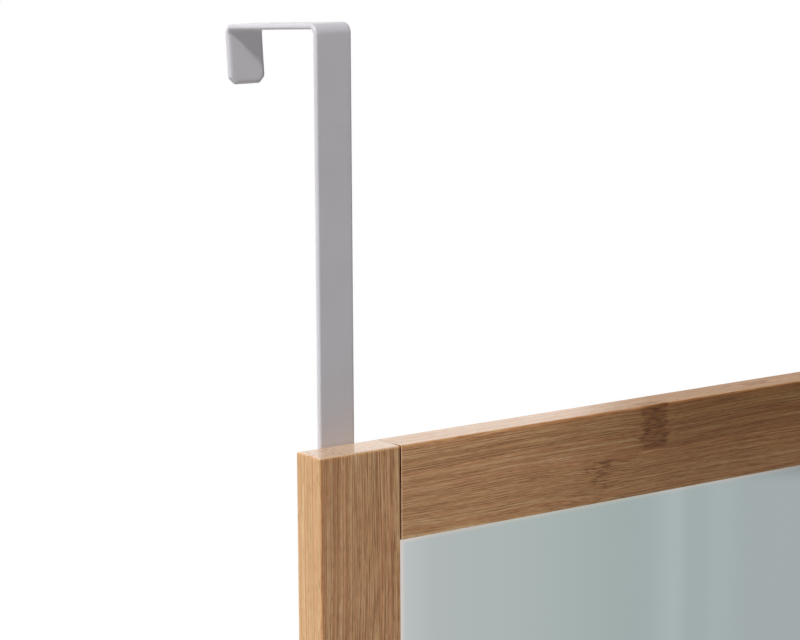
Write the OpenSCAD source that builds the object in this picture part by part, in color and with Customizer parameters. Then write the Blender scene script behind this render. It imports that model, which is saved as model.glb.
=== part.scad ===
// Over-the-door mirror: a tall bamboo-framed mirror that hangs from two bent steel hooks.
// Millimetres. X runs across the mirror, Y from the room towards the door, Z up. The origin is
// midway between the hooks, on the door's front face, level with the door's top edge.

/* [Frame] */
// Outside width of the frame
frame_w = 350; // [260:5:600]
// Outside height of the frame
frame_h = 1200; // [900:10:1600]
// Thickness of the frame, front to back
frame_t = 15; // [14:0.5:22]
// Width of each stile, the upright side pieces
stile_w = 35; // [34:0.5:60]
// Width of each rail, the cross pieces between the stiles
rail_w = 35; // [32:0.5:60]
// Radius that eases the edges of the frame's top and bottom, and its corners
outer_ease = 1; // [0.4:0.1:1.5]
// Radius that eases the stiles' outer front edges
side_ease = 0.6; // [0.3:0.1:1.5]
// Radius that eases the front edges around the glass and at the joints
inner_ease = 0.4; // [0.3:0.1:1]
// Radius that eases the stiles' outer back edges
back_ease = 0.5; // [0.5:0.25:3]
// Width of the shadow gap at the front of each joint
seam_w = 0.65; // [0.1:0.05:0.8]
// Depth of the shadow gap, from the front face
seam_d = 4; // [1:0.5:5]

/* [Dowels] */
// Diameter of the dowels that join rails to stiles
dowel_d = 6; // [5:0.5:8]
// Length of a dowel, half of it in each piece
dowel_l = 30; // [20:1:36]
// Distance between the two dowels of a joint
dowel_pitch = 12; // [10:0.5:13]
// Radial room for glue around a dowel
dowel_clear = 0.05; // [0.02:0.01:0.1]
// Room left past each end of a dowel
dowel_end_clear = 1; // [0.5:0.5:2]

/* [Glass and back] */
// Width of the ledge that the glass rests on
rebate_w = 8; // [6:0.5:9]
// Thickness of the mirror glass
glass_t = 3; // [2:0.5:4]
// Thickness of the foam sheet behind the glass
foam_t = 3; // [1:0.5:4]
// Thickness of the back board
board_t = 4; // [2.5:0.5:5]
// Room between the glass and the rebate, on each side
glass_clear = 1; // [0.5:0.25:2]
// Room between the back board and the rebate, on each side
board_clear = 0.5; // [0.25:0.25:1]
// Room between the foam sheet and the rebate, on each side
foam_clear = 3; // [1:0.5:5]

/* [Hooks] */
// Width of the steel strap with its coating
strap_w = 15.5; // [12:0.5:18]
// Thickness of the strap with its coating
strap_t = 2.2; // [2:0.1:2.6]
// Distance from the frame's side to the strap
strap_inset = 10.25; // [8:0.25:12]
// Height of the door's top edge above the frame
hook_rise = 150; // [60:5:250]
// Room for the door between the leg and the lip, measured at the door's top edge
door_gap = 55; // [30:1:60]
// Length of the lip's inner face, from the corner to its end
lip_l = 20; // [15:1:50]
// Inside radius of the bends
bend_r = 1.8; // [1.5:0.1:4]
// Fall of the bar from the front to the back, in degrees
bar_fall = 3.2; // [0:0.1:5]
// Lean of the lip towards the door, in degrees
lip_lean = 4.8; // [0:0.1:8]
// Size of the corners clipped off the strap's ends
end_clip = 2.4; // [1:0.2:4]

/* [Hook screws] */
// Thread diameter of the hook screws
hook_screw_d = 3.5; // [3:0.25:4]
// Length of the hook screws, head included
hook_screw_l = 12; // [10:0.5:14]
// Diameter of their countersunk heads
hook_screw_head_d = 7.2; // [6.5:0.1:7.4]
// Diameter of their holes in the strap
hook_hole_d = 4; // [4:0.1:4.4]
// Depth of the upper screw below the frame's top
hook_screw_drop = 45; // [30:1:60]
// Distance between a hook's two screws
hook_screw_pitch = 35; // [20:1:50]
// Strap below the lower screw
hook_tail = 15; // [10:1:20]

/* [Turn buttons] */
// Length of a turn button
button_l = 20; // [18:0.5:22]
// Width of a turn button
button_w = 10; // [8:0.5:11]
// Thickness of a turn button
button_t = 1; // [0.6:0.1:1]
// Distance from the frame's edge to a button's pivot
button_inset = 21; // [20:0.25:21]
// Distance from the frame's ends to the outer buttons of a stile
button_end = 200; // [150:5:350]
// Thread diameter of the pivot screws
pivot_d = 3; // [2.5:0.25:3.5]
// Depth of the pivot screws in the wood
pivot_depth = 9; // [6:0.5:11]
// Diameter of their heads
pivot_head_d = 7; // [6:0.25:8]
// Thickness of their heads
pivot_head_t = 0.6; // [0.5:0.1:0.7]
// Radial room between a pivot screw and its button
pivot_clear = 0.05; // [0.02:0.01:0.1]
// Room above and below a button
button_clear = 0.1; // [0.05:0.05:0.15]

/* [Bumpers] */
// Diameter of the felt bumpers
bumper_d = 20; // [12:1:26]
// Distance from the frame's bottom to a bumper's centre
bumper_rise = 25; // [16:1:60]

/* [Hidden] */
$fn = 64;
// Overshoot of a cut past the surface that it opens
cut = 1;
// Radial room around a screw in the wood, and of a head in its countersink
screw_clear = 0.05;
// Room past the point of a screw
point_clear = 0.5;
// Depth of a screw's cone point, as a share of its diameter
point_share = 0.8;
// Steps of each bend
bend_steps = 24;
// Width, depth and share of the head's diameter of a screw's cross recess
recess_w = 0.9;
recess_depth = 0.4;
recess_share = 0.6;

// Heights of the frame
frame_top = -hook_rise;
frame_middle = frame_top - frame_h / 2;
frame_bottom = frame_top - frame_h;
// Depths, from the front face to the door's face
back_y = -strap_t;
front_y = back_y - frame_t;
rebate_d = glass_t + foam_t + board_t;
glass_y = back_y - rebate_d;
foam_y = glass_y + glass_t;
board_y = foam_y + foam_t;
// The rails between the stiles
rail_l = frame_w - 2 * stile_w;
// The recess that holds glass, foam and board
recess_x = rail_l + 2 * rebate_w;
recess_z = frame_h - 2 * rail_w + 2 * rebate_w;
// Bumpers sit in the middle of the stile's back face, beside the recess
bumper_x = frame_w / 2 - (stile_w - rebate_w) / 2;
// Dowels lie in the middle of the frame's thickness and of the rail's unrebated width
dowel_y = front_y + frame_t / 2;
dowel_middle = frame_top - (rail_w - rebate_w) / 2;
// Hooks: places of the strap, of its bends' centres and of the end of the lip's inner face
strap_x = frame_w / 2 - strap_inset - strap_w / 2;
leg_bottom = frame_top - hook_screw_drop - hook_screw_pitch - hook_tail;
bar_normal = 90 - bar_fall;
lip_normal = -lip_lean;
front_tangent = bend_r / tan(bar_normal / 2);
back_tangent = bend_r * tan((bar_normal - lip_normal) / 2);
bar_l = door_gap / cos(bar_fall) - front_tangent - back_tangent;
front_centre = [bend_r, -front_tangent];
back_centre = front_centre + bar_l * direction(-bar_fall);
lip_end = [door_gap, -door_gap * tan(bar_fall)] - lip_l * direction(90 - lip_lean);
hook_screw_heights = [frame_top - hook_screw_drop, frame_top - hook_screw_drop - hook_screw_pitch];
// Turn buttons: pivots on the stiles and on the rails
button_y = back_y + button_clear;
side_pivot_x = frame_w / 2 - button_inset;
top_pivot_z = frame_top - button_inset;
bottom_pivot_z = frame_bottom + button_inset;
side_pivot_heights = [frame_top - button_end, frame_middle, frame_bottom + button_end];

// Unit vector at an angle
function direction(angle) = [cos(angle), sin(angle)];

// ---- Shared shapes ----

// What a rounded corner loses from a square one at the origin
module corner_waste(r) {
    difference() {
        translate([-cut, -cut]) square(r + cut);
        translate([r, r]) circle(r);
    }
}

// A rectangle from the origin with rounded corners; the radii run anticlockwise from the origin
module eased_rect(w, h, radii) {
    difference() {
        square([w, h]);
        if (radii[0] > 0) corner_waste(radii[0]);
        if (radii[1] > 0) translate([w, 0]) mirror([1, 0]) corner_waste(radii[1]);
        if (radii[2] > 0) translate([w, h]) rotate(180) corner_waste(radii[2]);
        if (radii[3] > 0) translate([0, h]) mirror([0, 1]) corner_waste(radii[3]);
    }
}

// Profiles drawn in XY, YZ and XZ and extruded along the third axis
module along_z(l) {
    linear_extrude(l) children();
}

module along_x(l) {
    rotate([90, 0, 90]) linear_extrude(l) children();
}

module along_y(l) {
    translate([0, l, 0]) rotate([90, 0, 0]) linear_extrude(l) children();
}

// A cylinder that starts at the origin and runs along +Y
module rod_y(r, l) {
    rotate([-90, 0, 0]) cylinder(r = r, h = l);
}

// A cone that starts at the origin and runs along +Y
module cone_y(r1, r2, l) {
    rotate([-90, 0, 0]) cylinder(r1 = r1, r2 = r2, h = l);
}

// The same shape on the other side of the mirror's middle, or at its other end
module on_right() {
    mirror([1, 0, 0]) children();
}

module at_bottom() {
    translate([0, 0, 2 * frame_middle]) mirror([0, 0, 1]) children();
}

// ---- Wood frame ----

// Room for a dowel pair, or the pair itself, at the top left joint
module dowel_pair(r, half_l) {
    for (z = [dowel_middle - dowel_pitch / 2, dowel_middle + dowel_pitch / 2])
        translate([-rail_l / 2 - half_l, dowel_y, z])
            rotate([0, 90, 0]) cylinder(r = r, h = 2 * half_l);
}

module dowel_holes() {
    dowel_pair(dowel_d / 2 + dowel_clear, dowel_l / 2 + dowel_end_clear);
}

// Pilot holes of the screws in the back of a left stile
module stile_pilots() {
    for (z = hook_screw_heights)
        translate([-strap_x, -hook_screw_l - point_clear, z])
            rod_y(hook_screw_d / 2 + screw_clear, hook_screw_l);
    for (z = side_pivot_heights)
        translate([-side_pivot_x, back_y, z]) pivot_pilot();
}

module pivot_pilot() {
    translate([0, -pivot_depth - point_clear, 0])
        rod_y(pivot_d / 2 + screw_clear, pivot_depth + point_clear + cut);
}

// An upright bar with eased edges
module stile_blank() {
    intersection() {
        along_z(frame_h) eased_rect(stile_w, frame_t, [side_ease, inner_ease, 0, back_ease]);
        along_x(stile_w) eased_rect(frame_t, frame_h, [outer_ease, outer_ease, outer_ease, outer_ease]);
        along_y(frame_t) eased_rect(stile_w, frame_h, [outer_ease, 0, 0, outer_ease]);
    }
}

module left_stile() {
    color("BurlyWood") difference() {
        translate([-frame_w / 2, front_y, frame_bottom]) stile_blank();
        glass_recess();
        dowel_holes();
        at_bottom() dowel_holes();
        stile_pilots();
    }
}

// The space that the glass, the foam and the board fill, open to the back
module glass_recess() {
    translate([-recess_x / 2, glass_y, frame_middle - recess_z / 2])
        cube([recess_x, rebate_d + cut, recess_z]);
}

// A cross bar with eased front edges, whose ends stand back from the stiles at the front
module rail_blank() {
    intersection() {
        along_x(rail_l) eased_rect(frame_t, rail_w, [inner_ease, 0, outer_ease, outer_ease]);
        along_z(rail_w) {
            translate([0, seam_d]) square([rail_l, frame_t - seam_d]);
            translate([seam_w, 0])
                eased_rect(rail_l - 2 * seam_w, frame_t, [inner_ease, inner_ease, 0, 0]);
        }
    }
}

module top_rail() {
    color("BurlyWood") difference() {
        translate([-rail_l / 2, front_y, frame_top - rail_w]) rail_blank();
        glass_recess();
        dowel_holes();
        on_right() dowel_holes();
        translate([0, back_y, top_pivot_z]) pivot_pilot();
    }
}

module dowels() {
    color("Tan") dowel_pair(dowel_d / 2, dowel_l / 2);
}

// ---- Glass and back ----

// A sheet that fills the recess, less the room around it
module recess_sheet(y, t, room) {
    translate([-recess_x / 2 + room, y, frame_middle - recess_z / 2 + room])
        cube([recess_x - 2 * room, t, recess_z - 2 * room]);
}

module mirror_glass() {
    color("LightSteelBlue") recess_sheet(glass_y, glass_t, glass_clear);
}

module foam_sheet() {
    color("WhiteSmoke") recess_sheet(foam_y, foam_t, foam_clear);
}

module back_board() {
    color("Peru") recess_sheet(board_y, board_t, board_clear);
}

// ---- Hooks ----

// Points of an arc
function arc(centre, r, from, to) =
    [for (i = [0:bend_steps]) centre + r * direction(from + (to - from) * i / bend_steps)];

// Side view of a hook: up the leg's front, over both bends to the lip's end, and back underneath
module hook_profile() {
    outer_r = bend_r + strap_t;
    polygon(concat(
        [[-strap_t, leg_bottom]],
        arc(front_centre, outer_r, 180, bar_normal),
        arc(back_centre, outer_r, bar_normal, lip_normal),
        [lip_end + strap_t * direction(lip_normal), lip_end],
        arc(back_centre, bend_r, lip_normal, bar_normal),
        arc(front_centre, bend_r, bar_normal, 180),
        [[0, leg_bottom]]
    ));
}

// The two corners clipped off a strap's end, whose inner edge is the origin; the strap runs up from it
module end_clips() {
    reach = 2 * end_clip;
    for (side = [-1, 1])
        translate([side * strap_w / 2, -cut, 0])
            rotate([0, 90 - 45 * side, 0])
                translate([-end_clip / sqrt(2), 0, -reach])
                    cube([2 * reach, strap_t + 2 * cut, 2 * reach]);
}

// A countersunk hole through the strap, from the door's side
module hook_screw_hole() {
    sink = (hook_screw_head_d - hook_hole_d) / 2;
    translate([0, -strap_t - cut, 0]) rod_y(hook_hole_d / 2, strap_t + 2 * cut);
    translate([0, -sink, 0]) cone_y(hook_hole_d / 2, hook_screw_head_d / 2, sink);
    rod_y(hook_screw_head_d / 2, cut);
}

module left_hook() {
    color("WhiteSmoke") difference() {
        translate([-strap_x - strap_w / 2, 0, 0]) along_x(strap_w) hook_profile();
        translate([-strap_x, -strap_t, leg_bottom]) end_clips();
        translate([-strap_x, lip_end[0], lip_end[1]]) rotate([-lip_lean, 0, 0]) end_clips();
        for (z = hook_screw_heights)
            translate([-strap_x, 0, z]) hook_screw_hole();
    }
}

// A cross recess in a screw head whose top faces +Y at the origin
module cross_recess(head_d) {
    l = head_d * recess_share;
    for (turn = [0, 90])
        rotate([0, turn, 0])
            translate([-l / 2, -recess_depth, -recess_w / 2]) cube([l, recess_depth + cut, recess_w]);
}

// A countersunk screw whose head is flush with the origin, pointing along -Y
module hook_screw() {
    head_r = hook_screw_head_d / 2 - screw_clear;
    shank_r = hook_screw_d / 2;
    point_l = hook_screw_d * point_share;
    difference() {
        union() {
            translate([0, shank_r - head_r, 0]) cone_y(shank_r, head_r, head_r - shank_r);
            translate([0, point_l - hook_screw_l, 0]) rod_y(shank_r, hook_screw_l - point_l);
            translate([0, -hook_screw_l, 0]) cone_y(0, shank_r, point_l);
        }
        cross_recess(hook_screw_head_d);
    }
}

module left_hook_screws() {
    color("Silver")
        for (z = hook_screw_heights)
            translate([-strap_x, 0, z]) hook_screw();
}

// ---- Turn buttons ----

// A flat steel plate with round ends that turns on a screw; heading 0 points along +X
module turn_button(x, z, heading) {
    r = button_w / 2;
    color("Gainsboro") translate([x, button_y, z]) rotate([0, -heading, 0]) along_y(button_t)
        difference() {
            union() {
                circle(r);
                translate([0, -r]) square([button_l - button_w, button_w]);
                translate([button_l - button_w, 0]) circle(r);
            }
            circle(pivot_d / 2 + pivot_clear);
        }
}

// A pan head screw whose head sits clear above a turn button
module pivot_screw(x, z) {
    head_y = button_t + 2 * button_clear;
    point_l = pivot_d * point_share;
    translate([x, back_y, z]) difference() {
        union() {
            translate([0, head_y, 0]) rod_y(pivot_head_d / 2, pivot_head_t);
            translate([0, point_l - pivot_depth, 0]) rod_y(pivot_d / 2, pivot_depth - point_l + head_y);
            translate([0, -pivot_depth, 0]) cone_y(0, pivot_d / 2, point_l);
        }
        translate([0, head_y + pivot_head_t, 0]) cross_recess(pivot_head_d);
    }
}

module turn_button_screws() {
    color("Silver") {
        for (side = [-1, 1], z = side_pivot_heights)
            pivot_screw(side * side_pivot_x, z);
        pivot_screw(0, top_pivot_z);
        pivot_screw(0, bottom_pivot_z);
    }
}

// ---- Bumpers ----

// A felt disc that keeps the frame as far from the door as the hooks do
module left_bumper() {
    color("DimGray")
        translate([-bumper_x, back_y, frame_bottom + bumper_rise])
            rod_y(bumper_d / 2, strap_t);
}

left_stile();
on_right() left_stile();  // right_stile
top_rail();
at_bottom() top_rail();  // bottom_rail
dowels();  // dowels_top_left
on_right() dowels();  // dowels_top_right
at_bottom() dowels();  // dowels_bottom_left
at_bottom() on_right() dowels();  // dowels_bottom_right
mirror_glass();
foam_sheet();
back_board();
left_hook();
on_right() left_hook();  // right_hook
left_hook_screws();
on_right() left_hook_screws();  // right_hook_screws
turn_button(-side_pivot_x, side_pivot_heights[0], 0);  // turn_button_left_upper
turn_button(-side_pivot_x, side_pivot_heights[1], 0);  // turn_button_left_middle
turn_button(-side_pivot_x, side_pivot_heights[2], 0);  // turn_button_left_lower
turn_button(side_pivot_x, side_pivot_heights[0], 180);  // turn_button_right_upper
turn_button(side_pivot_x, side_pivot_heights[1], 180);  // turn_button_right_middle
turn_button(side_pivot_x, side_pivot_heights[2], 180);  // turn_button_right_lower
turn_button(0, top_pivot_z, -90);  // turn_button_top
turn_button(0, bottom_pivot_z, 90);  // turn_button_bottom
turn_button_screws();
left_bumper();
on_right() left_bumper();  // right_bumper
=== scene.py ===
import math
import random
from types import SimpleNamespace

import bmesh
import bpy
from mathutils import Matrix, Vector


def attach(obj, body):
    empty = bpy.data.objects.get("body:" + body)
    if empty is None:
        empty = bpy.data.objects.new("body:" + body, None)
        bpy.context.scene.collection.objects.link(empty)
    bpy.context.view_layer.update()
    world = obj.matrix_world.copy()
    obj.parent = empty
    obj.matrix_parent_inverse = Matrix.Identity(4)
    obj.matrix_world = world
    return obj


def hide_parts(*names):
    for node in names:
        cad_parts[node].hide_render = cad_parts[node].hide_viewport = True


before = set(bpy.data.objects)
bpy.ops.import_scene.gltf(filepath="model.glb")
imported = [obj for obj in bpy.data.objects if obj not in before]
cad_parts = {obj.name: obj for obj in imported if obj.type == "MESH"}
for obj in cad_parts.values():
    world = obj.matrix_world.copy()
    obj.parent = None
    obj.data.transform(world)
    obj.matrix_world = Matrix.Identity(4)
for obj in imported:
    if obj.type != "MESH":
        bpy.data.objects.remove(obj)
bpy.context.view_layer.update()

# Over the door mirror: a bamboo frame that hangs from two white steel hooks.
# Lengths are millimetres in the part's own frame unless they say otherwise: X to the right,
# Y from the room towards the door, Z up, origin on the door's top edge. MM makes them metres.
MM = 0.001

# ---- Named sizes of the part ----

FRAME_WIDTH = 350
FRAME_HEIGHT = 1200
FRAME_THICKNESS = 15
MEMBER_WIDTH = 35
REBATE_WIDTH = 8
GAP_WIDTH = 0.65
GAP_DEPTH = 4

# The hooks' lengths are those of the strap's inner faces, up to the corners that the bends ease.
# Their angles are in degrees.
STRAP_WIDTH = 15.5
STRAP_THICKNESS = 2.2
STRAP_INSET = 10.25
HOOK_RISE = 150
HOOK_DROP = 95
DOOR_GAP = 55
BEND_RADIUS = 1.8
BAR_FALL = 3.2
LIP_FACE = 20
LIP_LEAN = 4.8
END_CLIP = 2.4
SCREW_DROPS = (45, 80)
SCREW_HOLE = 4.0
SCREW_SINK = 7.2

BUMPER_RADIUS = 10
BUMPER_RISE = 25

# Width and depth of the rounded edges of the strap's outer face and of its softer inner face, and
# the radius that eases the angles of its clipped ends
OUTER_EDGE = (0.9, 0.9)
INNER_EDGE = (1.7, 0.95)
END_CORNER_RADIUS = 1.2

# ---- Places that follow from the sizes ----

FRAME_SIDE = FRAME_WIDTH / 2
FRAME_TOP = -HOOK_RISE
FRAME_BOTTOM = FRAME_TOP - FRAME_HEIGHT
FRAME_MIDDLE = (FRAME_TOP + FRAME_BOTTOM) / 2
FRAME_BACK = -STRAP_THICKNESS
FRAME_FRONT = FRAME_BACK - FRAME_THICKNESS
LAYER = FRAME_THICKNESS / 3
RAIL_END = FRAME_SIDE - MEMBER_WIDTH
RAIL_INNER = FRAME_HEIGHT / 2 - MEMBER_WIDTH

STRAP_X = FRAME_SIDE - STRAP_INSET - STRAP_WIDTH / 2
LEG_BOTTOM = FRAME_TOP - HOOK_DROP
SCREW_HEIGHTS = [FRAME_TOP - drop for drop in SCREW_DROPS]
FRONT_TANGENT = BEND_RADIUS / math.tan(math.radians(90 - BAR_FALL) / 2)
BACK_TANGENT = BEND_RADIUS * math.tan(math.radians(90 - BAR_FALL + LIP_LEAN) / 2)
BAR_LENGTH = DOOR_GAP / math.cos(math.radians(BAR_FALL)) - FRONT_TANGENT - BACK_TANGENT
LIP_LENGTH = LIP_FACE - BACK_TANGENT

BUMPER_X = FRAME_SIDE - (MEMBER_WIDTH - REBATE_WIDTH) / 2
BUMPER_Z = FRAME_BOTTOM + BUMPER_RISE


# ---- Shader node helpers ----

class Graph:
    """Adds linked nodes to one node tree. An input may be a number, a colour or another output."""

    def __init__(self, tree):
        self.tree = tree
        tree.nodes.clear()

    def node(self, kind, inputs=None, **settings):
        made = self.tree.nodes.new("ShaderNode" + kind)
        for key, value in settings.items():
            setattr(made, key, value)
        for key, value in (inputs or {}).items():
            self.feed(made.inputs[key], value)
        return made

    def feed(self, socket, value):
        if isinstance(value, bpy.types.NodeSocket):
            self.tree.links.new(value, socket)
        elif socket.type == "RGBA":
            socket.default_value = (*value, 1.0)
        else:
            socket.default_value = value

    def math(self, operation, first, second=0.0, third=0.0):
        inputs = {0: first, 1: second, 2: third}
        return self.node("Math", inputs, operation=operation).outputs[0]

    def add(self, total, *others):
        for other in others:
            total = self.math("ADD", total, other)
        return total

    def subtract(self, first, second):
        return self.math("SUBTRACT", first, second)

    def distance(self, first, second):
        return self.math("ABSOLUTE", self.subtract(first, second))

    def times(self, first, second):
        return self.math("MULTIPLY", first, second)

    def step(self, value, edge):
        """1 above the edge, 0 below it."""
        return self.math("GREATER_THAN", value, edge)

    def blend(self, factor, low, high):
        """A number between low and high."""
        return self.add(low, self.times(factor, self.subtract(high, low)))

    def swing(self, noise, amount):
        """How far noise stands from its middle, times an amount."""
        return self.times(self.subtract(noise, 0.5), amount)

    def fade(self, value, start, end, low=0.0, high=1.0):
        """Eases from low at start to high at end, and stays there outside."""
        inputs = {"Value": value, "From Min": start, "From Max": end, "To Min": low, "To Max": high}
        return self.node("MapRange", inputs, interpolation_type="SMOOTHSTEP").outputs[0]

    def vector(self, x, y, z):
        return self.node("CombineXYZ", {"X": x, "Y": y, "Z": z}).outputs[0]

    def split(self, vector):
        return self.node("SeparateXYZ", {"Vector": vector}).outputs

    def place(self):
        """X, Y and Z in the part's frame, in millimetres."""
        metres = self.node("TexCoord").outputs["Object"]
        scaled = self.node("VectorMath", {0: metres, "Scale": 1 / MM}, operation="SCALE")
        return self.split(scaled.outputs[0])

    def facing(self, axis):
        """How squarely the surface faces along an axis of the part's frame, from 0 to 1."""
        normal = self.split(self.node("TexCoord").outputs["Normal"])[axis]
        return self.math("ABSOLUTE", normal)

    def noise(self, vector, detail, scale=1.0, roughness=0.5):
        """Soft noise from 0 to 1, with 0.5 as its middle."""
        inputs = {"Vector": vector, "Scale": scale, "Detail": detail, "Roughness": roughness}
        return self.node("TexNoise", inputs).outputs[0]

    def cells(self, vector, scale=1.0):
        """Distance from the nearest of many scattered points."""
        return self.node("TexVoronoi", {"Vector": vector, "Scale": scale}).outputs["Distance"]

    def colour(self, factor, low, high, blend_type="MIX"):
        """A colour between low and high, or low multiplied by high."""
        inputs = {0: factor, 6: low, 7: high}
        mixed = self.node("Mix", inputs, data_type="RGBA", blend_type=blend_type)
        return mixed.outputs[2]

    def ramp(self, value, stops):
        """A colour between (place, colour) stops."""
        made = self.node("ValToRGB", {"Fac": value})
        marks = made.color_ramp.elements
        while len(marks) < len(stops):
            marks.new(1.0)
        for mark, (place, shade) in zip(marks, stops):
            mark.position = place
            mark.color = (*shade, 1.0)
        return made.outputs["Color"]

    def bump(self, height, depth):
        """A bumpy surface's normal. The bumps are depth high, in millimetres."""
        return self.node("Bump", {"Height": height, "Distance": depth * MM}).outputs[0]

    def surface(self, shader):
        self.node("OutputMaterial", {"Surface": shader})


def new_material(name):
    material = bpy.data.materials.new(name)
    material.use_nodes = True
    return material, Graph(material.node_tree)


def paint(names, material):
    """Gives CAD nodes a material in place of their plain one."""
    for name in names:
        for material_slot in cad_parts[name].material_slots:
            material_slot.material = material


# ---- Bamboo ----

WOOD_STOPS = [
    (0.0, (0.37, 0.142, 0.044)),
    (0.33, (0.56, 0.255, 0.095)),
    (0.6, (0.685, 0.345, 0.142)),
    (1.0, (0.84, 0.535, 0.29)),
]
HUE_STOPS = [(0.3, (1.0, 0.94, 0.89)), (0.7, (0.95, 1.01, 0.95))]
GLUE_BROWN = (0.37, 0.142, 0.044)
BUNDLE_DARK = (0.24, 0.078, 0.012)
KNOT_BROWN = (0.41, 0.155, 0.026)
# Painted shade in the joints' gaps, and the dark hairline behind them
JOINT_SHADE_AND_LINE = (0.27, 0.066, 0.003)
END_GRAIN_PALE = (0.775, 0.535, 0.36)
END_GRAIN_DOT = (0.30, 0.12, 0.04)
# Painted shade, multiplied into the front of the wood
PAINTED_SHADE_TINT = (0.385, 0.32, 0.21)

# The narrow faces' tint, by the way that the member's grain runs: painted light, paler than the front as
# if more brightly lit
LIT_EDGE_TINTS = {"Z": (1.03, 1.13, 1.18), "X": (1.04, 1.20, 1.60)}

# Length and thickness of the fibres. The long lines and the streaks are as thick as the member says.
BROAD_BANDS = (260, 3.6)
HUE_BANDS = (320, 1.9)
FINE_FIBRES = (4, 0.42)
DARK_DASHES = (5.5, 0.42)
LINE_LENGTH = 170
STREAK_LENGTH = 18

# How far the noise slides along the grain from lath to lath. The fibres' wander has a length, a
# width and an amount.
LATH_SLIDE = 53.7
WANDER = (90, 40, 4)

# A strip's knots repeat along it, and each layer's lie a little further on. A knot fades out between
# two distances from its middle, and so does the wood that it disturbs. Past the glue line it tapers.
KNOT_SPACING = 310
KNOT_LAYER_SHIFT = 60
KNOT_FADE = (7.6, 5.4)
NEAR_KNOT_FADE = (40, 4)
KNOT_FRAY = 11
KNOT_TAPER = 0.25
KNOT_SWERVE = 2.5

# The painted shade in the joints' gaps: half the width that is painted, how far it reaches past the rail's
# inner edge, and between which distances from the middle it grows darker
GAP_REACH = 0.45
GAP_MARGIN = 0.5
GAP_SHADE_FADE = (RAIL_INNER + 15, RAIL_INNER + 25)

# Where each member's grain runs, the edge that its width is measured from and which way, the glue
# line between its two strips, and the thickness of its fibres. Then, for each strip: the slant of its
# grain, how much of its figure is short streaks instead of long lines, and its knot's place and
# darkness. A member's shade is a stretch of its front with painted shade, darker as where the light
# falls off: its middle, where it ends and its depth.
MEMBERS = {
    "left_stile": SimpleNamespace(
        grain="Z", edge=-FRAME_SIDE, sign=1, split=14.7, fibre=0.5,
        slants=(0.0, 0.012), streaked=(0.0, 0.7), knots=(-440, -402), darks=(0.5, 0.6),
        shade=(-900, 300, 0.15)),
    "right_stile": SimpleNamespace(
        grain="Z", edge=FRAME_SIDE, sign=-1, split=19.2, fibre=0.48,
        slants=(-0.012, 0.006), streaked=(0.6, 0.2), knots=(-276, -447), darks=(0.6, 0.3),
        shade=(-500, 260, 0.15)),
    "top_rail": SimpleNamespace(
        grain="X", edge=FRAME_TOP, sign=-1, split=17.4, fibre=0.36,
        slants=(0.004, -0.006), streaked=(0.3, 0.35), knots=(-18.0, -46.2), darks=(1.0, 0.22),
        shade=(50, 165, 0.86)),
    "bottom_rail": SimpleNamespace(
        grain="X", edge=FRAME_BOTTOM, sign=1, split=15.8, fibre=0.42,
        slants=(-0.008, 0.008), streaked=(0.3, 0.8), knots=(61, -83), darks=(0.5, 0.7),
        shade=(-40, 150, 0.2)),
}


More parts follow.
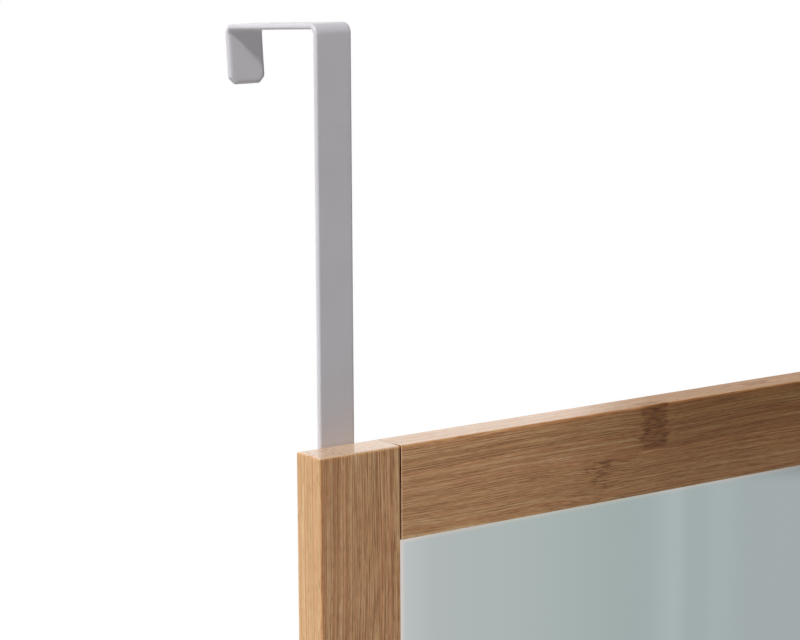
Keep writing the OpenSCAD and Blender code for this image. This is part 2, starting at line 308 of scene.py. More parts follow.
class Bamboo:
    """Pressed bamboo: two strips side by side in three layers, with long fibres and dark knots."""

    def __init__(self, graph, seed, member):
        self.graph = graph
        self.member = member
        self.x, self.y, self.z = graph.place()
        self.along, width = (self.z, self.x) if member.grain == "Z" else (self.x, self.z)
        self.across = graph.times(graph.subtract(width, member.edge), member.sign)
        self.strip = graph.step(self.across, member.split)
        self.depth = graph.times(graph.subtract(self.y, FRAME_FRONT), 1 / LAYER)
        self.layer = graph.math("FLOOR", self.depth)
        self.narrow = graph.subtract(1, graph.facing(1))
        self.from_axis = graph.math("ABSOLUTE", self.x)
        self.from_middle = graph.distance(self.z, FRAME_MIDDLE)
        self.beside_rail = graph.step(self.from_middle, RAIL_INNER - GAP_MARGIN)

        # Each strip of each layer is a lath of its own
        self.lath = graph.add(graph.times(self.strip, 3), self.layer, seed * 7)
        self.slide = graph.times(self.lath, LATH_SLIDE)
        self.own_along = graph.add(self.along, self.slide)
        self.knot, self.near_knot = self.find_knots()
        self.fibre_across = self.bend_fibres()

    def by_strip(self, pair):
        """The first number in the strip at the member's edge, the second in the other strip."""
        return self.graph.blend(self.strip, *pair)

    def patches(self, along_scale, across_scale, detail):
        """Noise in soft patches."""
        lengthways = self.graph.times(self.along, along_scale)
        sideways = self.graph.times(self.across, across_scale)
        return self.graph.noise(self.graph.vector(lengthways, sideways, self.lath), detail=detail)

    def fibres(self, length, thickness):
        """Noise drawn out along the grain."""
        graph = self.graph
        lengthways = graph.times(self.own_along, 1 / length)
        sideways = graph.times(self.fibre_across, 1 / thickness)
        inwards = graph.times(graph.add(self.y, self.slide), 1 / thickness)
        return graph.noise(graph.vector(lengthways, sideways, inwards), detail=1)

    def find_knots(self):
        """How much a point is in a knot, and how near to one it is. A knot's ends are frayed."""
        graph = self.graph
        middle = graph.add(self.by_strip(self.member.knots), graph.times(self.layer, KNOT_LAYER_SHIFT))
        fray = graph.swing(self.patches(0.1, 0.6, detail=3), KNOT_FRAY)
        offset = graph.add(graph.subtract(self.along, middle), fray)
        offset = graph.math("WRAP", offset, KNOT_SPACING / 2, -KNOT_SPACING / 2)
        from_knot = graph.math("ABSOLUTE", offset)
        past_split = graph.times(graph.subtract(self.across, self.member.split), self.strip)
        tapered = graph.add(from_knot, graph.times(past_split, KNOT_TAPER))
        knot = graph.fade(tapered, *KNOT_FADE, 0, graph.blend(self.narrow, 1.0, 0.5))
        return knot, graph.fade(from_knot, *NEAR_KNOT_FADE)

    def bend_fibres(self):
        """The place across the fibres, which wander and slant a little and swerve at a knot."""
        graph = self.graph
        length, width, amount = WANDER
        lengthways = graph.times(self.own_along, 1 / length)
        sideways = graph.times(self.across, 1 / width)
        wander = graph.noise(graph.vector(lengthways, self.lath, sideways), detail=1)
        wander = graph.swing(wander, amount)
        slant = graph.times(self.along, self.by_strip(self.member.slants))
        swerve = graph.swing(self.patches(0.05, 0.28, detail=2), KNOT_SWERVE)
        return graph.add(self.across, graph.add(wander, slant, graph.times(swerve, self.near_knot)))

    def tone(self, lines, fine):
        """How pale the plain wood is: broad bands, long lines, short streaks and fine fibres."""
        graph = self.graph
        streaked = self.by_strip(self.member.streaked)
        streaks = self.fibres(STREAK_LENGTH, self.member.fibre)
        figure = graph.add(
            graph.swing(self.fibres(*BROAD_BANDS), 0.45),
            graph.swing(fine, 0.8),
            graph.swing(lines, graph.blend(streaked, 1.6, 1.55)),
            graph.swing(streaks, graph.blend(streaked, 0.9, 2.4)),
        )
        figure = graph.times(figure, graph.blend(self.narrow, 1.0, 0.5))
        # The narrow faces are paler: painted light, as if lit more brightly than the front
        return graph.add(graph.blend(self.narrow, 0.475, 0.58), figure)

    def tint(self, colour):
        """Some bands are redder, others greener, and the narrow faces are yellower or paler: painted
        light.
        """
        graph = self.graph
        hue = graph.ramp(self.fibres(*HUE_BANDS), HUE_STOPS)
        colour = graph.colour(1.0, colour, hue, "MULTIPLY")
        return graph.colour(self.narrow, colour, LIT_EDGE_TINTS[self.member.grain], "MULTIPLY")

    def bundles(self, colour):
        """Dark bundles: short dashes, few in plain wood and crowded in a knot, which is browner."""
        graph = self.graph
        dark = self.by_strip(self.member.darks)
        colour = graph.colour(graph.times(self.knot, graph.times(dark, 0.6)), colour, KNOT_BROWN)
        blotch = graph.swing(self.patches(0.2, 0.3, detail=2), 0.4)
        crowding = graph.times(self.knot, graph.add(graph.blend(dark, 0.02, 0.11), blotch))
        crowding = graph.add(crowding, graph.times(self.near_knot, 0.05))
        bundles = graph.add(self.fibres(*DARK_DASHES), crowding)
        dashes = graph.fade(bundles, 0.60, 0.76, 0, graph.blend(self.knot, 0.55, 0.95))
        return graph.colour(dashes, colour, BUNDLE_DARK)

    def glue_lines(self, colour):
        """Thin brown lines between the strips and between the layers."""
        graph = self.graph
        from_split = graph.distance(self.across, self.member.split)
        from_layer = graph.distance(self.depth, graph.math("ROUND", self.depth))
        inside = graph.times(graph.step(self.depth, 0.5), graph.step(2.5, self.depth))
        split_line = graph.fade(from_split, 0.28, 0.06, 0, 0.35)
        layer_line = graph.times(graph.fade(from_layer, 0.07, 0.02, 0, 0.45), inside)
        return graph.colour(graph.math("MAXIMUM", split_line, layer_line), colour, GLUE_BROWN)

    def painted_front_shade(self, colour):
        """Painted shade on a stretch of the front faces, as where the light falls off there."""
        graph = self.graph
        middle, end, amount = self.member.shade
        on_front = graph.times(graph.facing(1), graph.step(0.5, self.depth))
        shaded = graph.fade(graph.distance(self.along, middle), end, 30, 0, amount)
        shaded = graph.times(graph.times(shaded, on_front), self.by_strip((1.0, 0.8)))
        return graph.colour(shaded, colour, graph.colour(1.0, colour, PAINTED_SHADE_TINT, "MULTIPLY"))

    def end_grain(self, colour):
        """The sawn ends are paler, and their cut fibres show as dots."""
        graph = self.graph
        end = graph.fade(graph.facing("XYZ".index(self.member.grain)), 0.5, 0.8)
        cells = graph.cells(graph.vector(self.across, graph.times(self.y, 1 / 2.2), self.lath))
        dots = graph.fade(cells, 0.42, 0.22, 0, self.by_strip((0.7, 0.35)))
        cut_face = graph.colour(dots, END_GRAIN_PALE, END_GRAIN_DOT)
        return graph.colour(graph.times(end, 0.85), colour, cut_face)

    def gap(self):
        """How much painted shade darkens the joints' front gaps: most near the frame's outside."""
        graph = self.graph
        from_gap = graph.distance(self.from_axis, RAIL_END - GAP_WIDTH / 2)
        beside_rail = graph.times(graph.step(GAP_REACH, from_gap), self.beside_rail)
        in_gap = graph.times(beside_rail, graph.fade(self.depth, 0.04, 0.1))
        # The painted shade is deeper towards the frame's outside
        deeper_outside = graph.fade(self.from_middle, *GAP_SHADE_FADE, 0.35, 1.0)
        facing_gap = graph.fade(graph.facing(0), 0.5, 0.9, 0.15, 1.0)
        return graph.times(graph.times(in_gap, deeper_outside), facing_gap)

    def joints(self, colour, gap):
        """Painted shade in the joints' gaps, and a dark hairline behind them."""
        graph = self.graph
        behind_gap = graph.times(self.beside_rail, graph.step(self.depth, GAP_DEPTH / LAYER))
        hairline = graph.fade(graph.distance(self.from_axis, RAIL_END), 0.3, 0.08, 0, 0.75)
        dark = graph.math("MAXIMUM", gap, graph.times(hairline, behind_gap))
        return graph.colour(dark, colour, JOINT_SHADE_AND_LINE)


def bamboo(name, seed, member):
    """Varnished bamboo. The varnish is missing in the joints' gaps."""
    material, graph = new_material(name)
    wood = Bamboo(graph, seed, member)
    lines = wood.fibres(LINE_LENGTH, member.fibre)
    fine = wood.fibres(*FINE_FIBRES)
    tone = wood.tone(lines, fine)
    gap = wood.gap()
    colour = graph.ramp(tone, WOOD_STOPS)
    colour = wood.tint(colour)
    colour = wood.bundles(colour)
    colour = wood.glue_lines(colour)
    colour = wood.painted_front_shade(colour)
    colour = wood.end_grain(colour)
    colour = wood.joints(colour, gap)
    height = graph.add(graph.times(lines, 0.5), graph.times(fine, 0.5))
    shader = graph.node("BsdfPrincipled", {
        "Base Color": colour,
        "Roughness": graph.fade(tone, 0.2, 0.8, 0.5, 0.4),
        "Normal": graph.bump(height, 0.02),
        "Specular IOR Level": 0.1,
        "Coat Weight": graph.subtract(1, gap),
        "Coat Roughness": 0.14,
    })
    graph.surface(shader.outputs[0])
    return material


for seed, (member_name, member) in enumerate(MEMBERS.items()):
    paint([member_name], bamboo("bamboo_" + member_name, seed, member))


# ---- Other materials ----

def beech():
    """Plain pale wood, with its grain along the dowels."""
    material, graph = new_material("beech")
    x, y, z = graph.place()
    grain = graph.vector(graph.times(x, 0.15), graph.times(y, 1.6), graph.times(z, 1.6))
    grain = graph.noise(grain, detail=3)
    wood = graph.ramp(grain, [(0.3, (0.50, 0.31, 0.17)), (0.7, (0.67, 0.47, 0.29))])
    shader = graph.node("BsdfPrincipled", {"Base Color": wood, "Roughness": 0.6})
    graph.surface(shader.outputs[0])
    return material


# How far the mirror's painted bright line, a painted reflection of the frame's inner edges, lies inside
# the frame's opening, at the sides and at the ends
LINE_FROM_SIDE = 3.7
LINE_FROM_END = 1.2


def mirror():
    """Silvered glass, with a painted reflection: a bright warm line where the frame's inner edges show in
    it.
    """
    material, graph = new_material("mirror")
    x, _, z = graph.place()
    from_side = graph.subtract(RAIL_END - LINE_FROM_SIDE, graph.math("ABSOLUTE", x))
    from_end = graph.subtract(RAIL_INNER - LINE_FROM_END, graph.distance(z, FRAME_MIDDLE))
    painted_edge_reflection = graph.fade(graph.math("MINIMUM", from_side, from_end), 2.2, 0.2)
    silver = graph.colour(painted_edge_reflection, (0.72, 0.753, 0.741), (0.92, 0.83, 0.75))
    shader = graph.node("BsdfPrincipled", {"Base Color": silver, "Metallic": 1.0, "Roughness": 0.02})
    graph.surface(shader.outputs[0])
    return material


def foam():
    """Grey plastic foam with fine bubbles."""
    material, graph = new_material("foam")
    x, y, z = graph.place()
    bubbles = graph.cells(graph.vector(x, y, z), scale=1.4)
    shade = graph.ramp(bubbles, [(0.1, (0.55, 0.55, 0.54)), (0.6, (0.80, 0.80, 0.79))])
    shader = graph.node("BsdfPrincipled", {
        "Base Color": shade,
        "Roughness": 0.85,
        "Normal": graph.bump(bubbles, 0.2),
    })
    graph.surface(shader.outputs[0])
    return material


# The ways that the back board's fibres lie, in degrees
FIBRE_HEADINGS = (10, 55, 100, 145)


def hardboard():
    """Pressed wood fibre: fine pale fibres lying every way on brown, with a few dark specks."""
    material, graph = new_material("hardboard")
    x, y, z = graph.place()
    flat = graph.vector(x, graph.times(y, 2), z)
    cloud = graph.noise(flat, scale=0.012, detail=2)
    grain = graph.noise(flat, scale=0.7, detail=4, roughness=0.7)
    fibre = 0.0
    for heading in FIBRE_HEADINGS:
        cosine = math.cos(math.radians(heading))
        sine = math.sin(math.radians(heading))
        lengthways = graph.add(graph.times(x, cosine), graph.times(z, sine))
        sideways = graph.subtract(graph.times(z, cosine), graph.times(x, sine))
        strands = graph.vector(graph.times(lengthways, 0.16), y, graph.times(sideways, 1.6))
        strands = graph.noise(strands, detail=1)
        fibre = graph.math("MAXIMUM", fibre, strands)
    tone = graph.add(graph.times(cloud, 0.12), graph.times(grain, 0.88))
    board = graph.ramp(tone, [
        (0.3, (0.20, 0.112, 0.058)),
        (0.5, (0.262, 0.150, 0.080)),
        (0.7, (0.33, 0.195, 0.108)),
    ])
    board = graph.colour(graph.fade(fibre, 0.62, 0.74, 0, 0.36), board, (0.46, 0.30, 0.175))
    specks = graph.cells(flat, scale=0.28)
    board = graph.colour(graph.fade(specks, 0.16, 0.08, 0, 0.6), board, (0.10, 0.05, 0.025))
    height = graph.add(graph.times(fibre, 0.6), graph.times(grain, 0.4))
    shader = graph.node("BsdfPrincipled", {
        "Base Color": board,
        "Roughness": graph.fade(grain, 0.3, 0.7, 0.5, 0.62),
        "Normal": graph.bump(height, 0.05),
    })
    graph.surface(shader.outputs[0])
    return material


def powder_coat():
    """White powder coating with a faint orange peel."""
    material, graph = new_material("powder_coat")
    x, y, z = graph.place()
    spot = graph.vector(x, y, z)
    cloud = graph.noise(spot, scale=0.05, detail=2)
    white = graph.ramp(cloud, [(0.3, (0.695, 0.675, 0.71)), (0.7, (0.72, 0.70, 0.735))])
    peel = graph.noise(spot, scale=0.7, detail=2, roughness=0.4)
    shader = graph.node("BsdfPrincipled", {
        "Base Color": white,
        "Roughness": graph.fade(peel, 0.3, 0.7, 0.36, 0.44),
        "Normal": graph.bump(peel, 0.015),
    })
    graph.surface(shader.outputs[0])
    return material


def zinc(name, tint, roughness):
    """Zinc plated steel: clouded, with fine scratches in two directions."""
    material, graph = new_material(name)
    x, y, z = graph.place()
    spot = graph.vector(x, y, z)
    cloud = graph.noise(spot, scale=0.35, detail=4, roughness=0.6)
    dark = tuple(0.72 * part for part in tint)
    metal = graph.ramp(cloud, [(0.3, dark), (0.7, tint)])
    scratch_one = graph.noise(graph.vector(graph.times(x, 9), y, graph.times(z, 0.4)), detail=2)
    scratch_two = graph.noise(graph.vector(graph.times(x, 0.4), y, graph.times(z, 7)), detail=2)
    scratches = graph.math("MAXIMUM", scratch_one, scratch_two)
    shader = graph.node("BsdfPrincipled", {
        "Base Color": metal,
        "Metallic": 1.0,
        "Roughness": graph.fade(cloud, 0.3, 0.7, roughness + 0.12, roughness),
        "Normal": graph.bump(scratches, 0.01),
    })
    graph.surface(shader.outputs[0])
    return material


def felt():
    """Dark grey felt: cloudy, rough and a little fuzzy."""
    material, graph = new_material("felt")
    x, y, z = graph.place()
    spot = graph.vector(x, y, z)
    cloud = graph.noise(spot, scale=0.4, detail=3)
    fibre = graph.noise(spot, scale=3.0, detail=4, roughness=0.75)
    tone = graph.add(graph.times(cloud, 0.35), graph.times(fibre, 0.65))
    shade = graph.ramp(tone, [
        (0.34, (0.10, 0.098, 0.095)),
        (0.52, (0.20, 0.195, 0.19)),
        (0.68, (0.36, 0.355, 0.345)),
    ])
    shader = graph.node("BsdfPrincipled", {
        "Base Color": shade,
        "Roughness": 0.95,
        "Normal": graph.bump(fibre, 0.25),
        "Sheen Weight": 0.4,
        "Sheen Roughness": 0.5,
    })
    graph.surface(shader.outputs[0])
    return material


DOWELS = ["dowels_top_left", "dowels_top_right", "dowels_bottom_left", "dowels_bottom_right"]
SCREWS = ["left_hook_screws", "right_hook_screws", "turn_button_screws"]
BUTTONS = [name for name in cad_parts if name.startswith("turn_button_") and name not in SCREWS]
ZINC_TINT = (0.72, 0.71, 0.69)
SCREW_TINT = (0.66, 0.66, 0.67)

paint(DOWELS, beech())
paint(["mirror_glass"], mirror())
paint(["foam_sheet"], foam())
paint(["back_board"], hardboard())
paint(BUTTONS, zinc("zinc_plate", ZINC_TINT, 0.3))
paint(SCREWS, zinc("zinc_screw", SCREW_TINT, 0.26))


# ---- Mesh helpers ----

def mesh_object(name, points, faces, material):
    """A smooth-shaded mesh whose points are in millimetres."""
    mesh = bpy.data.meshes.new(name)
    mesh.from_pydata([[MM * part for part in point] for point in points], [], faces)
    mesh.materials.append(material)
    shaded = bmesh.new()
    shaded.from_mesh(mesh)
    bmesh.ops.recalc_face_normals(shaded, faces=shaded.faces)
    shaded.to_mesh(mesh)
    shaded.free()
    mesh.shade_smooth()
    made = bpy.data.objects.new(name, mesh)
    bpy.context.scene.collection.objects.link(made)
    return made


def band_faces(ring, following, around):
    """The faces between two rings of points, given where each begins."""
    faces = []
    for i in range(around):
        j = (i + 1) % around
        faces.append((ring + i, ring + j, following + j, following + i))
    return faces


def side_faces(rings, around):
    """The faces between all neighbouring rings of points, which all have the same number of points."""
    faces = []
    for ring in range(rings - 1):
        faces += band_faces(ring * around, (ring + 1) * around, around)
    return faces


def round_faces(rings, around):
    """The faces of a closed round shape: its side, and a cap on its first and its last ring."""
    last_ring = (rings - 1) * around
    caps = [tuple(range(around)), tuple(range(last_ring, last_ring + around))]
    return side_faces(rings, around) + caps


# ---- Hooks ----

MIDDLE_RADIUS = BEND_RADIUS + STRAP_THICKNESS / 2
TURN_STEP = 6
STRAIGHT_STEP = 12

# A short length of the leg holds each screw hole: how far it reaches above and below the hole's
# middle, and how many points its circles have
HOLE_MARGIN = 5
HOLE_STEPS = 48

# A clipped corner turns twice, and each turn keeps at least a small radius where it is set in
CLIP_TURN = 45
CLIP_STEPS = 3
LEAST_RADIUS = 0.1

# A flat border beside the rounded edge keeps the shading of the strap's faces even
EDGE_STEPS = 6
FLAT_BORDER = 0.35
SHARP_ANGLE = 35


def strap_route():
    """The strap's middle line in its side view: straight lengths and clockwise turns."""
    marks = [LEG_BOTTOM]
    for z in sorted(SCREW_HEIGHTS):
        marks += [z - HOLE_MARGIN, z + HOLE_MARGIN]
    marks.append(-FRONT_TANGENT)
    leg = [("straight", above - below) for below, above in zip(marks, marks[1:])]
    return leg + [
        ("turn", 90 + BAR_FALL),
        ("straight", BAR_LENGTH),
        ("turn", 90 - BAR_FALL + LIP_LEAN),
        ("straight", LIP_LENGTH),
    ]


def strap_stations():
    """Places along the strap's middle line: (Y, Z, heading in degrees), with 90 straight up."""
    y, z, heading = -STRAP_THICKNESS / 2, LEG_BOTTOM, 90.0
    stations = [(y, z, heading)]
    for kind, amount in strap_route():
        if kind == "straight":
            count = math.ceil(amount / STRAIGHT_STEP)
            turn = 0.0
            piece = amount / count
        else:
            count = math.ceil(amount / TURN_STEP)
            turn = amount / count
            piece = 2 * MIDDLE_RADIUS * math.sin(math.radians(turn) / 2)
        for _ in range(count):
            y += piece * math.cos(math.radians(heading - turn / 2))
            z += piece * math.sin(math.radians(heading - turn / 2))
            heading -= turn
            stations.append((y, z, heading))
    return stations


def strap_point(station, past, x, height):
    """A point beside a station: past it along the strap, x across, height out of the strap's middle."""
    y, z, heading = station
    angle = math.radians(heading)
    y += past * math.cos(angle) - height * math.sin(angle)
    z += past * math.sin(angle) + height * math.cos(angle)
    return (x, y, z)


def clipped_corner(inset):
    """(distance from the strap's end, half width) round a clipped corner whose two angles are eased."""
    radius = max(END_CORNER_RADIUS, inset + LEAST_RADIUS)
    reach = radius - inset
    ease = math.tan(math.radians(CLIP_TURN) / 2) * radius
    half = STRAP_WIDTH / 2
    centres = [(radius, half - END_CLIP - ease), (END_CLIP + ease, half - radius)]
    points = []
    for (from_end, from_middle), start in zip(centres, (0, CLIP_TURN)):
        for step in range(CLIP_STEPS + 1):
            angle = math.radians(start + CLIP_TURN * step / CLIP_STEPS)
            points.append((from_end - reach * math.cos(angle), from_middle + reach * math.sin(angle)))
    return points


def strap_outline(stations, inset):
    """(station, past, half width) along the strap, for an outline set in from its edges."""
    corner = clipped_corner(inset)
    outline = [(stations[0], past, half) for past, half in corner]
    outline += [(station, 0.0, STRAP_WIDTH / 2 - inset) for station in stations[1:-1]]
    outline += [(stations[-1], -past, half) for past, half in reversed(corner)]
    return outline


def edge_rings(width, depth):
    """(inset, height) from the strap's face down to its side, round an edge of that width and depth."""
    face = STRAP_THICKNESS / 2
    rings = [(width + FLAT_BORDER, face)]
    for step in range(EDGE_STEPS + 1):
        angle = math.radians(90 - 90 * step / EDGE_STEPS)
        rings.append((width * (1 - math.cos(angle)), face - depth * (1 - math.sin(angle))))
    return rings


def strap_rings():
    """(inset, height) of the rounded edge, from the strap's outer face to its softer inner face."""
    outer = edge_rings(*OUTER_EDGE)
    inner = edge_rings(*INNER_EDGE)
    return outer + [(inset, -height) for inset, height in reversed(inner)]


def screw_between(low, high):
    """The height of the screw hole between two heights, or None."""
    return next((z for z in SCREW_HEIGHTS if low < z < high), None)


def hole_circle(middle_x, y, z, radius):
    """Points round a hole, from the right by the top."""
    points = []
    for step in range(HOLE_STEPS):
        angle = math.tau * step / HOLE_STEPS
        points.append((middle_x + radius * math.cos(angle), y, z + radius * math.sin(angle)))
    return points


def faces_round_hole(corners, circle):
    """Four faces between a hole's circle and a rectangle, whose corners run up, across and down."""
    quarter = HOLE_STEPS // 4
    faces = []
    for turn, corner in enumerate(corners):
        # The quarter of the circle that lies along the side from this corner to the next
        first = 3 * quarter // 2 - turn * quarter
        arc = [circle + (first + step) % HOLE_STEPS for step in range(quarter + 1)]
        faces.append((corner, corners[(turn + 1) % 4], *arc))
    return faces


def strap_mesh(name, middle_x, material):
    """The strap with its screw holes, which are countersunk towards the door."""
    hole = SCREW_HOLE / 2
    sink = SCREW_SINK / 2
    stations = strap_stations()
    rings = strap_rings()
    points = []
    for inset, height in rings:
        outline = strap_outline(stations, inset)
        for side, run in ((-1, outline), (1, reversed(outline))):
            for station, past, half in run:
                points.append(strap_point(station, past, middle_x + side * half, height))
    around = len(points) // len(rings)
    faces = side_faces(len(rings), around)

    # The outer face, then the inner one. Where a screw hole is, the faces go round it.
    circles = {z: [] for z in SCREW_HEIGHTS}
    for first, radius in ((0, hole), (len(points) - around, sink)):
        last = first + around - 1
        for i in range(around // 2 - 1):
            corners = (first + i, first + i + 1, last - i - 1, last - i)
            _, y, low = points[corners[0]]
            _, _, high = points[corners[1]]
            z = screw_between(low, high)
            if z is None:
                faces.append(corners)
            else:
                circles[z].append(len(points))
                faces += faces_round_hole(corners, len(points))
                points += hole_circle(middle_x, y, z, radius)

    # The walls of the holes: a straight one, then the countersink
    for z, (outer, inner) in circles.items():
        throat = len(points)
        points += hole_circle(middle_x, hole - sink, z, hole)
        faces += band_faces(outer, throat, HOLE_STEPS)
        faces += band_faces(throat, inner, HOLE_STEPS)
    return mesh_object(name, points, faces, material)


def hook(name, middle_x, material):
    """A coated hook, in place of the CAD one."""
    made = strap_mesh(name + "_strap", middle_x, material)
    made.data.set_sharp_from_angle(angle=math.radians(SHARP_ANGLE))
    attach(made, "frame")
    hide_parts(name)


white = powder_coat()
hook("left_hook", -STRAP_X, white)
hook("right_hook", STRAP_X, white)


# ---- Felt bumpers ----

# (distance in from the rim, Y) over the rounded rim, then the distances of the rings in the face
BUMPER_RIM = [(0.0, FRAME_BACK), (0.0, -1.2), (0.1, -0.55), (0.4, -0.2), (1.0, -0.06)]
BUMPER_FACE = (2.0, 3.2, 4.4, 5.6, 6.8, 8.0, 9.1)
BUMPER_FACE_Y = -0.04
BUMPER_STEPS = 72

# How uneven the felt is, sideways and towards the door
UNEVEN_RIM = 0.14
UNEVEN_FACE = 0.12


def bumper(name, middle_x, material, seed):
    """A cut felt disc: softly rounded, its face and rim a little uneven."""
    chance = random.Random(seed)
    profile = BUMPER_RIM + [(inwards, BUMPER_FACE_Y) for inwards in BUMPER_FACE]
    points = []
    for inwards, y in profile:
        for step in range(BUMPER_STEPS):
            angle = math.tau * step / BUMPER_STEPS
            radius = BUMPER_RADIUS - inwards - chance.uniform(0.0, UNEVEN_RIM)
            dent = chance.uniform(0.0, UNEVEN_FACE) if y > FRAME_BACK else 0.0
            x = middle_x + radius * math.cos(angle)
            z = BUMPER_Z + radius * math.sin(angle)
            points.append((x, y - dent, z))
    made = mesh_object(name + "_felt", points, round_faces(len(profile), BUMPER_STEPS), material)
    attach(made, "frame")
    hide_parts(name)


soft = felt()
bumper("left_bumper", -BUMPER_X, soft, 1)
bumper("right_bumper", BUMPER_X, soft, 2)


# ---- Floor, world and lamps ----

FLOOR_Z = FRAME_BOTTOM - 0.3
FLOOR_RADIUS = 2400
FLOOR_STEPS = 96
WHITE = (1.0, 1.0, 1.0)

# The floor fades into the background between two distances from its middle. What shines sees it fade
# into the room instead on the viewer's side, which begins between two depths.
FLOOR_FADE = (700, 2300)
FLOOR_ROOM_FADE = (500, -500)


def floor_material():
    """Pale grey, which fades into the white background towards the rim."""
    material, graph = new_material("floor")
    x, y, z = graph.place()
    radius = graph.math("SQRT", graph.add(graph.times(x, x), graph.times(y, y)))
    rays = graph.node("LightPath").outputs
    reflected = graph.math("MAXIMUM", rays["Is Glossy Ray"], rays["Is Transmission Ray"])
    seen = graph.math("MAXIMUM", rays["Is Camera Ray"], reflected)
    speckle = graph.noise(graph.vector(x, y, z), scale=0.02, detail=3)
    plain = graph.ramp(speckle, [(0.3, (0.58, 0.58, 0.575)), (0.7, (0.62, 0.62, 0.615))])
    diffuse = graph.node("BsdfDiffuse", {"Color": plain}).outputs[0]
    lifted = graph.node("Emission", {"Color": WHITE, "Strength": 0.4}).outputs[0]
    bright = graph.node("AddShader", {0: diffuse, 1: lifted}).outputs[0]
    inner = graph.node("MixShader", {0: seen, 1: diffuse, 2: bright}).outputs[0]
    white_glow = graph.node("Emission", {"Color": WHITE, "Strength": 1.0}).outputs[0]
    room_glow = graph.node("Emission", {"Color": (0.58, 0.62, 0.62), "Strength": 1.0}).outputs[0]
    in_room = graph.times(rays["Is Glossy Ray"], graph.fade(y, *FLOOR_ROOM_FADE))
    glow = graph.node("MixShader", {0: in_room, 1: white_glow, 2: room_glow}).outputs[0]
    fade = graph.times(seen, graph.fade(radius, *FLOOR_FADE))
    graph.surface(graph.node("MixShader", {0: fade, 1: inner, 2: glow}).outputs[0])
    return material


def floor():
    """A round floor, a hair below the object."""
    points = []
    for step in range(FLOOR_STEPS):
        angle = math.tau * step / FLOOR_STEPS
        points.append((FLOOR_RADIUS * math.cos(angle), FLOOR_RADIUS * math.sin(angle), FLOOR_Z))
    made = mesh_object("floor", points, [tuple(range(FLOOR_STEPS))], floor_material())


AMBIENT = 0.28

# Azimuths are in degrees: from straight behind the object for the backdrop, and from straight in
# front of it for the room on the viewer's side. The backdrop fades out between two of them.
BACKDROP_STOPS = [(0.0, WHITE), (1.0, (0.15, 0.155, 0.17))]
BACKDROP_FADE = (39.5, 41.0)
ROOM_START = 36
ROOM_WIDTH = 8
ROOM_STOPS = [
    (0.0, (0.70, 0.71, 0.73)),
    (0.1, (0.60, 0.62, 0.63)),
    (0.3, (0.56, 0.61, 0.61)),
    (0.6, (0.49, 0.55, 0.55)),
    (1.0, (0.50, 0.54, 0.56)),
]

# The room is dark above what the mirror shows: it fades in over these azimuths and levels
DARK_AZIMUTHS = (37, 41.5)
DARK_LEVELS = (-13.2, -12.2)
DARK_AMOUNT = 0.8

# Pale upright streaks that show in the mirror: azimuth, how wide they rise and fall, and strength
STREAKS = [(41.9, 0.7, 0.28, 0.13), (42.8, 0.45, 0.6, 0.06)]


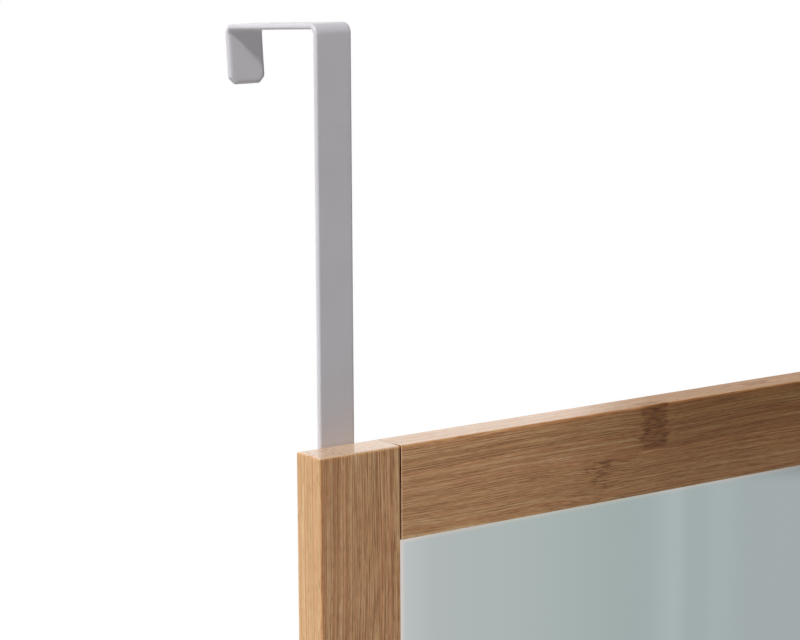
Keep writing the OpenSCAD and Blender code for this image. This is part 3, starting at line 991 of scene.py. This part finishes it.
def studio_world():
    """White around the object for what the camera and gloss see, grey-green on the viewer's side."""
    world = bpy.data.worlds.new("studio")
    bpy.context.scene.world = world
    world.use_nodes = True
    graph = Graph(world.node_tree)
    towards = graph.node("TexCoord").outputs["Generated"]
    x, y, z = graph.split(towards)
    rays = graph.node("LightPath").outputs
    behind = graph.step(y, 0.0)

    azimuth = graph.math("DEGREES", graph.math("ARCTAN2", x, graph.math("ABSOLUTE", y)))
    backdrop = graph.ramp(graph.fade(azimuth, *BACKDROP_FADE), BACKDROP_STOPS)
    room = graph.times(graph.subtract(azimuth, ROOM_START), 1 / ROOM_WIDTH)
    room = graph.ramp(room, ROOM_STOPS)
    for middle, rise, fall, strength in STREAKS:
        rising = graph.fade(azimuth, middle - rise, middle)
        falling = graph.fade(azimuth, middle + fall, middle, 0, strength)
        room = graph.colour(graph.times(rising, falling), room, (0.9, 0.95, 1.0))
    level = graph.math("DEGREES", graph.math("ARCSINE", z))
    above_mirror = graph.times(graph.fade(azimuth, *DARK_AZIMUTHS), graph.fade(level, *DARK_LEVELS))
    room = graph.colour(graph.times(above_mirror, DARK_AMOUNT), room, (0.0, 0.0, 0.0))
    glossy = graph.colour(behind, room, backdrop)
    camera_and_glass = graph.math("MAXIMUM", rays["Is Camera Ray"], rays["Is Transmission Ray"])
    seen = graph.colour(camera_and_glass, glossy, WHITE)
    is_seen = graph.math("MAXIMUM", camera_and_glass, rays["Is Glossy Ray"])
    seen_light = graph.node("Background", {"Color": seen, "Strength": 1.0}).outputs[0]
    ambient = graph.node("Background", {"Color": WHITE, "Strength": AMBIENT}).outputs[0]
    mixed = graph.node("MixShader", {0: is_seen, 1: ambient, 2: seen_light}).outputs[0]
    graph.node("OutputWorld", {"Surface": mixed})


def sun(name, travels, strength, softness, shows=True):
    """A soft lamp far away: the direction its light travels in, its strength, and its width in degrees."""
    data = bpy.data.lights.new(name, "SUN")
    data.energy = strength
    data.angle = math.radians(softness)
    made = bpy.data.objects.new(name, data)
    made.rotation_mode = "QUATERNION"
    made.rotation_quaternion = Vector(travels).to_track_quat("-Z", "Y")
    made.visible_glossy = shows
    bpy.context.scene.collection.objects.link(made)


floor()
studio_world()
sun("key", (4.5, 1.0, -4.5), 2.7, 10)
sun("fill", (-0.6, -1.0, -0.5), 0.7, 30, shows=False)


# ---- Camera ----

CAMERA_PLACE = (-717.701, -810.252, 67.091)
CAMERA_YAW = 36.085
CAMERA_PITCH = -9.881
CAMERA_ROLL = -0.311
CAMERA_LENS = 125.21


def photo_camera():
    """The photograph's viewpoint. Yaw turns from +Y towards +X; the lens is for a 36 mm wide sensor."""
    data = bpy.data.cameras.new("camera")
    data.sensor_fit = "HORIZONTAL"
    data.sensor_width = 36
    data.lens = CAMERA_LENS
    data.clip_start = 0.05
    data.clip_end = 50
    yaw, pitch, roll = (math.radians(angle) for angle in (CAMERA_YAW, CAMERA_PITCH, CAMERA_ROLL))
    ahead = Vector((math.sin(yaw) * math.cos(pitch), math.cos(yaw) * math.cos(pitch), math.sin(pitch)))
    right = Vector((math.cos(yaw), -math.sin(yaw), 0.0))
    up = right.cross(ahead)
    rolled_right = right * math.cos(roll) + up * math.sin(roll)
    rolled_up = up * math.cos(roll) - right * math.sin(roll)
    turn = Matrix((rolled_right, rolled_up, -ahead)).transposed()
    made = bpy.data.objects.new("camera", data)
    made.matrix_world = Matrix.Translation(Vector(CAMERA_PLACE) * MM) @ turn.to_4x4()
    bpy.context.scene.collection.objects.link(made)
    bpy.context.scene.camera = made


photo_camera()
bpy.context.scene.view_settings.view_transform = "Standard"
